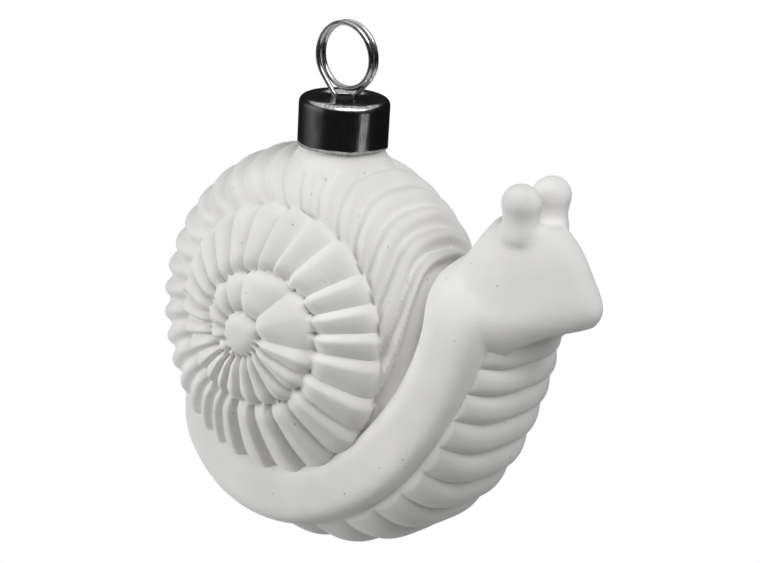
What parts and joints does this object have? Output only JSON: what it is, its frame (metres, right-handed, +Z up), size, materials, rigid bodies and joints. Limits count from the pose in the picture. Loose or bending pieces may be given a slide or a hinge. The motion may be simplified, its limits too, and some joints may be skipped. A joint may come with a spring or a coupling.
{
  "type": "hanging snail ornament",
  "caption": "Hollow matte white bisque snail with a ribbed spiral shell and scalloped belly, hung by a sprung wire loop in a drawn metal cap on its neck.",
  "frame": {"origin": "where a hook bears: the inside top of the hanger's loop, on the axis of the neck", "axes": "+X the way the snail faces, +Y its left side, +Z up"},
  "size_m": [0.1039, 0.0532, 0.1045],
  "materials": {
    "bisque": "matte, unglazed, finely pitted",
    "cap_plate": "bright plated sheet, polished",
    "hanger_wire": "bright drawn spring wire"
  },
  "bodies": {
    "hanger": {"wire_hanger": "hanger_wire"},
    "cap": {"ornament_cap": "cap_plate"},
    "casting": {"snail_casting": "bisque"}
  },
  "joints": [
    {"name": "cap_swivel", "type": "hinge", "parent": "hanger", "child": "cap", "pos_m": [0, 0, -0.0142], "axis": [0, 0, 1], "continuous": true},
    {"name": "casting_pull_off", "type": "slide", "parent": "cap", "child": "casting", "axis": [0, 0, -1], "range_m": [0, 0.014]}
  ]
}
